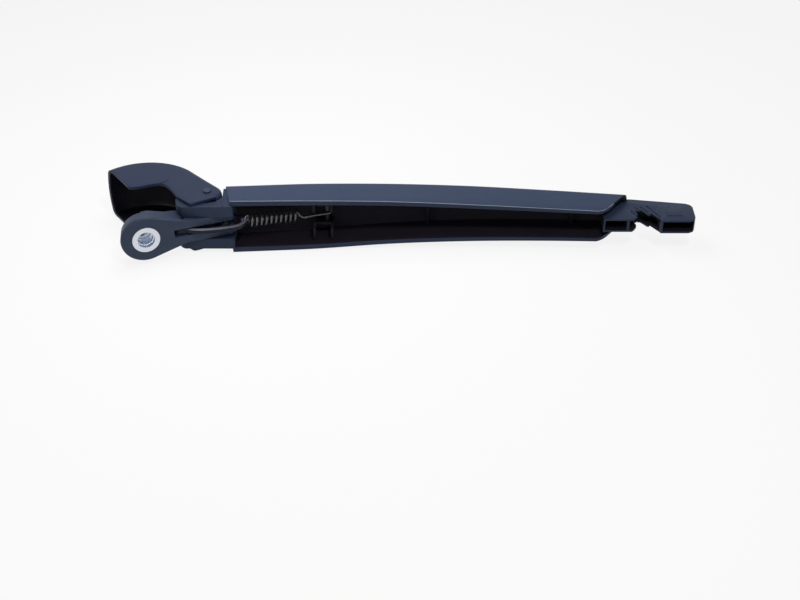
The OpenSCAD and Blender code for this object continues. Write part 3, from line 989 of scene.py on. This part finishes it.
class WIPER_OT_cover(bpy.types.Operator):
    """Builds the flip cover as one swept shell"""
    bl_idname = "wiper.cover"
    bl_label = "Flip Cover"

    def execute(self, context):
        sizes = context.scene.wiper_sizes
        wall = sizes.cover_wall / MM
        stations = [-1 + i / DOME_STEPS for i in range(DOME_STEPS)]
        stations += [i / FLAT_STEPS for i in range(FLAT_STEPS)]
        stations += [1 + i / BEND_STEPS for i in range(BEND_STEPS + 1)]
        cover = loft("flip_cover", [cover_ring(u, wall) for u in stations], COVER_FRAME)
        notch = slab("notch", box_outline(*NOTCH), -GROOVE_HALF, GROOVE_HALF, COVER_FRAME)
        hole = rod("pin_hole", PIN_R + PIN_PLAY, -HOLE_HALF, HOLE_HALF, COVER_FRAME)
        combine(cover, [hole, notch], "DIFFERENCE")
        dress(cover, "cover", "cover", ["cover"], sizes.edge)

        def is_inside(place, normal):
            if abs(place.z) > COVER_HALF - wall * 1.5:
                return normal.z * place.z < -LEAST_INWARD
            if place.x > -DOME_X:
                return normal.y * max(place.y, 1) + normal.x * place.x < 0
            return normal.x * (place.x + DOME_X) + normal.y * (place.y + DOME_R - BACK) < 0

        # Painted shade: the cover's inner faces take the near-black liner finish
        part_finish(cover, COVER_FRAME, "painted_shade_liner", is_inside)
        return {"FINISHED"}


class WIPER_OT_head(bpy.types.Operator):
    """Builds the mounting head"""
    bl_idname = "wiper.head"
    bl_label = "Mounting Head"

    def execute(self, context):
        head = copy_of("mounting_head")
        dress(head, "head", "head", ["mounting_head"], context.scene.wiper_sizes.edge)
        return {"FINISHED"}


class WIPER_OT_insert(bpy.types.Operator):
    """Builds the plated insert in the boss"""
    bl_idname = "wiper.insert"
    bl_label = "Spindle Insert"

    def execute(self, context):
        insert = copy_of("spindle_insert")
        dress(insert, "steel", "head", ["spindle_insert"], INSERT_EDGE)
        # Painted light and painted shade on the faces of the bore
        part_finish(insert, TO_METRES, "bore",
                    lambda p, n: (p.x ** 2 + p.z ** 2) ** 0.5 < BORE_R + 0.1 and p.y > 0)
        return {"FINISHED"}


class WIPER_OT_pins(bpy.types.Operator):
    """Builds the fold pin, the bush and the two small pins"""
    bl_idname = "wiper.pins"
    bl_label = "Pins"

    def execute(self, context):
        for node, finish, body, slot in (
                ("fold_pin", "black", "arm", "black_steel"),
                ("pivot_bush", "bush", "head", "bush_bronze"),
                ("link_pin", "pin", "head", "pin_steel"),
                ("anchor_pin", "pin", "arm", "pin_steel")):
            pin = dress(copy_of(node), finish, body, [node], PIN_EDGE)
            # Painted shade: the fold pin's sides take the near-black web finish
            if node == "fold_pin":
                part_finish(pin, ARM_FRAME, "web", lambda p, n: abs(n.z) < 0.6)
        return {"FINISHED"}


class WIPER_OT_link(bpy.types.Operator):
    """Builds the steel link that joins the spring to the head"""
    bl_idname = "wiper.link"
    bl_label = "Spring Link"

    def execute(self, context):
        link = dress(copy_of("spring_link"), "link", "link", ["spring_link"], LINK_EDGE)
        # Flanks lighter than the edges: rolled strip, and a painted highlight
        part_finish(link, LINK_FRAME, "flank_with_painted_highlight", lambda p, n: abs(n.z) > 0.5)
        return {"FINISHED"}


def add_input(tree, name, kind, default):
    socket = tree.interface.new_socket(name, in_out="INPUT", socket_type=kind)
    if default is not None:
        socket.default_value = default
    return socket.identifier


def coil_tree(material):
    """Geometry nodes: a coil along the spring's line, joined to the drawn hooks and given its wire."""
    group = bpy.data.node_groups.new("spring_coil", "GeometryNodeTree")
    keys = {"Hooks": add_input(group, "Hooks", "NodeSocketGeometry", None)}
    for name, kind, default in (
            ("Turns", "NodeSocketFloat", 10.0), ("Coil Radius", "NodeSocketFloat", 0.003),
            ("Wire Radius", "NodeSocketFloat", 0.00065), ("Length", "NodeSocketFloat", 0.026),
            ("Start", "NodeSocketVector", (0, 0, 0)), ("Turn", "NodeSocketRotation", None)):
        keys[name] = add_input(group, name, kind, default)
    group.interface.new_socket("Geometry", in_out="OUTPUT", socket_type="NodeSocketGeometry")
    tree = Tree(group)
    given = tree.add("NodeGroupInput").outputs
    coil = tree.add("GeometryNodeCurveSpiral", None, {
        "Resolution": COIL_STEPS, "Rotations": given["Turns"], "Start Radius": given["Coil Radius"],
        "End Radius": given["Coil Radius"], "Height": given["Length"]})
    placed = tree.add("GeometryNodeTransform", None, {
        "Geometry": coil.outputs[0], "Translation": given["Start"], "Rotation": given["Turn"]})
    hooks = tree.add("GeometryNodeMeshToCurve", None, {"Mesh": given["Hooks"]})
    both = tree.add("GeometryNodeJoinGeometry", None, {"Geometry": placed.outputs[0]})
    tree.tree.links.new(hooks.outputs[0], both.inputs[0])
    ring = tree.add("GeometryNodeCurvePrimitiveCircle", None, {
        "Resolution": WIRE_SIDES, "Radius": given["Wire Radius"]})
    wire = tree.add("GeometryNodeCurveToMesh", None, {
        "Curve": both.outputs[0], "Profile Curve": ring.outputs[0], "Fill Caps": True})
    solid = tree.add("GeometryNodeRealizeInstances", None, {0: wire.outputs[0]})
    painted = tree.add("GeometryNodeSetMaterial", None, {"Geometry": solid.outputs[0], "Material": material})
    tree.add("NodeGroupOutput", None, {0: painted.outputs[0]})
    return group, keys


def smooth_path(points, steps=6):
    """Curve through a list of points."""
    path = []
    for i in range(len(points) - 1):
        p = points[max(i - 1, 0)]
        s = points[min(i + 2, len(points) - 1)]
        for k in range(steps):
            path.append(tuple(catmull(*values, k / steps) for values in zip(p, points[i], points[i + 1], s)))
    return path + [tuple(points[-1])]


class WIPER_OT_spring(bpy.types.Operator):
    """Builds the tension spring with its two hooks"""
    bl_idname = "wiper.spring"
    bl_label = "Tension Spring"

    def execute(self, context):
        sizes = context.scene.wiper_sizes
        coil_r = (sizes.coil - sizes.wire) / 2
        radius = coil_r / MM
        hook_r = ANCHOR_R + sizes.wire / MM / 2 + HOOK_GAP
        near = [(SPRING_START, 0, -1.4), (SPRING_START + 0.1, 0, 0.8), (SPRING_START + 0.5, 0.9, 1.9),
                (COIL_START - 0.4, 1.3, 2.6), (COIL_START, 0, radius)]
        coil_end = COIL_START + COIL_LENGTH
        far = [(coil_end, 0, radius), (coil_end + 0.9, -1.5, 2.2), (coil_end + 2.4, -2.5, 0.5),
               (coil_end + 4.6, -2.9, -0.3), (coil_end + 8, -2.7, 0)]
        far += [(ANCHOR_REACH + x, y, 0) for x, y in arc((0, 0), hook_r, *HOOK_TURN, 7)]
        bm = bmesh.new()
        for path in (smooth_path(near), smooth_path(far)):
            verts = [bm.verts.new(LINK_FRAME @ Vector(point)) for point in path]
            for one, other in zip(verts, verts[1:]):
                bm.edges.new((one, other))
        mesh = bpy.data.meshes.new("spring")
        bm.to_mesh(mesh)
        bm.free()
        spring = bpy.data.objects.new("tension_spring_coil", mesh)
        context.scene.collection.objects.link(spring)
        group, keys = coil_tree(FINISHES["wire"])
        modifier = spring.modifiers.new("coil", "NODES")
        modifier.node_group = group
        turn = Matrix.Rotation(atan2(SPRING_LINE.y, SPRING_LINE.x), 3, "Z") @ Matrix.Rotation(pi / 2, 3, "Y")
        turn = turn @ Matrix.Rotation(pi, 3, "Z")
        modifier[keys["Turns"]] = float(sizes.turns)
        modifier[keys["Coil Radius"]] = coil_r
        modifier[keys["Wire Radius"]] = sizes.wire / 2
        modifier[keys["Length"]] = COIL_LENGTH * MM
        modifier[keys["Start"]] = LINK_FRAME @ Vector((COIL_START, 0, 0))
        modifier[keys["Turn"]] = turn.to_euler()
        bake(spring)
        mesh = spring.data
        mesh.polygons.foreach_set("use_smooth", [True] * len(mesh.polygons))
        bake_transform(spring)
        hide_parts("tension_spring")
        return {"FINISHED"}


class WIPER_OT_stage(bpy.types.Operator):
    """Sets the floor, the lamps, the world and the camera"""
    bl_idname = "wiper.stage"
    bl_label = "Stage"

    def execute(self, context):
        self.floor(context)
        self.world(context)
        self.lamps(context)
        self.camera(context)
        context.scene.view_settings.view_transform = "Standard"
        return {"FINISHED"}

    def floor(self, context):
        bm = bmesh.new()
        bmesh.ops.create_grid(bm, x_segments=1, y_segments=1, size=FLOOR_HALF_MM)
        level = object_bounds()[0][2]
        floor = new_object("floor", bm, Matrix.Translation((FLOOR_MIDDLE, 0, level)) @ TO_METRES)
        paint = Finish("floor_white")
        light = paint.add("ShaderNodeLightPath").outputs
        seen = Value(paint, light["Is Camera Ray"]).maths("MAXIMUM", light["Is Glossy Ray"])
        card = paint.add("ShaderNodeBsdfDiffuse", None, {"Color": WHITE})
        glow = paint.add("ShaderNodeEmission", None, {"Color": WHITE, "Strength": 1.0})
        mixed = paint.add("ShaderNodeMixShader", None, {
            0: seen * FLOOR_GLOW, 1: card.outputs[0], 2: glow.outputs[0]})
        paint.add("ShaderNodeOutputMaterial", None, {"Surface": mixed.outputs[0]})
        floor.data.materials.append(paint.material)
        floor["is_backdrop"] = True

    def world(self, context):
        world = bpy.data.worlds.new("studio")
        world.use_nodes = True
        context.scene.world = world
        tree = Tree(world.node_tree)
        tree.tree.nodes.clear()
        light = tree.add("ShaderNodeLightPath").outputs
        seen = Value(tree, light["Is Camera Ray"]).maths("MAXIMUM", light["Is Glossy Ray"])
        seen = seen.maths("MAXIMUM", light["Is Transmission Ray"])
        strength = WORLD_FILL + seen * (1 - WORLD_FILL)
        glow = tree.add("ShaderNodeBackground", None, {"Color": WHITE, "Strength": strength})
        tree.add("ShaderNodeOutputWorld", None, {"Surface": glow.outputs[0]})

    def lamps(self, context):
        for name, place, aim, size, watts in LAMPS:
            lamp = bpy.data.lights.new(name, "AREA")
            lamp.size = size
            lamp.energy = watts
            obj = bpy.data.objects.new(name, lamp)
            obj.location = place
            obj.rotation_euler = (Vector(aim) - obj.location).to_track_quat("-Z", "Y").to_euler()
            context.scene.collection.objects.link(obj)

    def camera(self, context):
        camera = bpy.data.cameras.new("camera")
        camera.sensor_width = SENSOR
        camera.lens = SENSOR * FOCAL_PIXELS / PICTURE_WIDTH
        camera.clip_end = CLIP_END
        obj = bpy.data.objects.new("camera", camera)
        obj.location = ARM_FRAME @ Vector(CAMERA_PLACE)
        obj.rotation_euler = (pi / 2 - CAMERA_ELEVATION, 0, ARM_TURN)
        context.scene.collection.objects.link(obj)
        context.scene.camera = obj


class WIPER_PT_panel(bpy.types.Panel):
    """Lists the pieces in the sidebar"""
    bl_idname = "WIPER_PT_panel"
    bl_label = "Wiper Arm"
    bl_space_type = "VIEW_3D"
    bl_region_type = "UI"
    bl_category = "Wiper Arm"

    def draw(self, context):
        for group in (context.scene.wiper_sizes, context.scene.wiper_colours):
            for name in group.__annotations__:
                self.layout.prop(group, name)
        for operator in OPERATORS:
            self.layout.operator(operator.bl_idname)


OPERATORS = (WIPER_OT_arm_skin, WIPER_OT_arm_root, WIPER_OT_arm_webs, WIPER_OT_connector, WIPER_OT_cover,
             WIPER_OT_head, WIPER_OT_insert, WIPER_OT_pins, WIPER_OT_link, WIPER_OT_spring, WIPER_OT_stage)
CLASSES = (Sizes, Colours) + OPERATORS + (WIPER_PT_panel,)


def register():
    for cls in CLASSES:
        bpy.utils.register_class(cls)
    bpy.types.Scene.wiper_sizes = bpy.props.PointerProperty(type=Sizes)
    bpy.types.Scene.wiper_colours = bpy.props.PointerProperty(type=Colours)


def unregister():
    del bpy.types.Scene.wiper_colours
    del bpy.types.Scene.wiper_sizes
    for cls in reversed(CLASSES):
        bpy.utils.unregister_class(cls)


def main():
    """Builds every piece in order."""
    register()
    FINISHES.update(make_finishes())
    bpy.ops.wiper.arm_skin()
    bpy.ops.wiper.arm_root()
    bpy.ops.wiper.arm_webs()
    bpy.ops.wiper.connector()
    bpy.ops.wiper.cover()
    bpy.ops.wiper.head()
    bpy.ops.wiper.insert()
    bpy.ops.wiper.pins()
    bpy.ops.wiper.link()
    bpy.ops.wiper.spring()
    bpy.ops.wiper.stage()


if __name__ == "__main__":
    main()
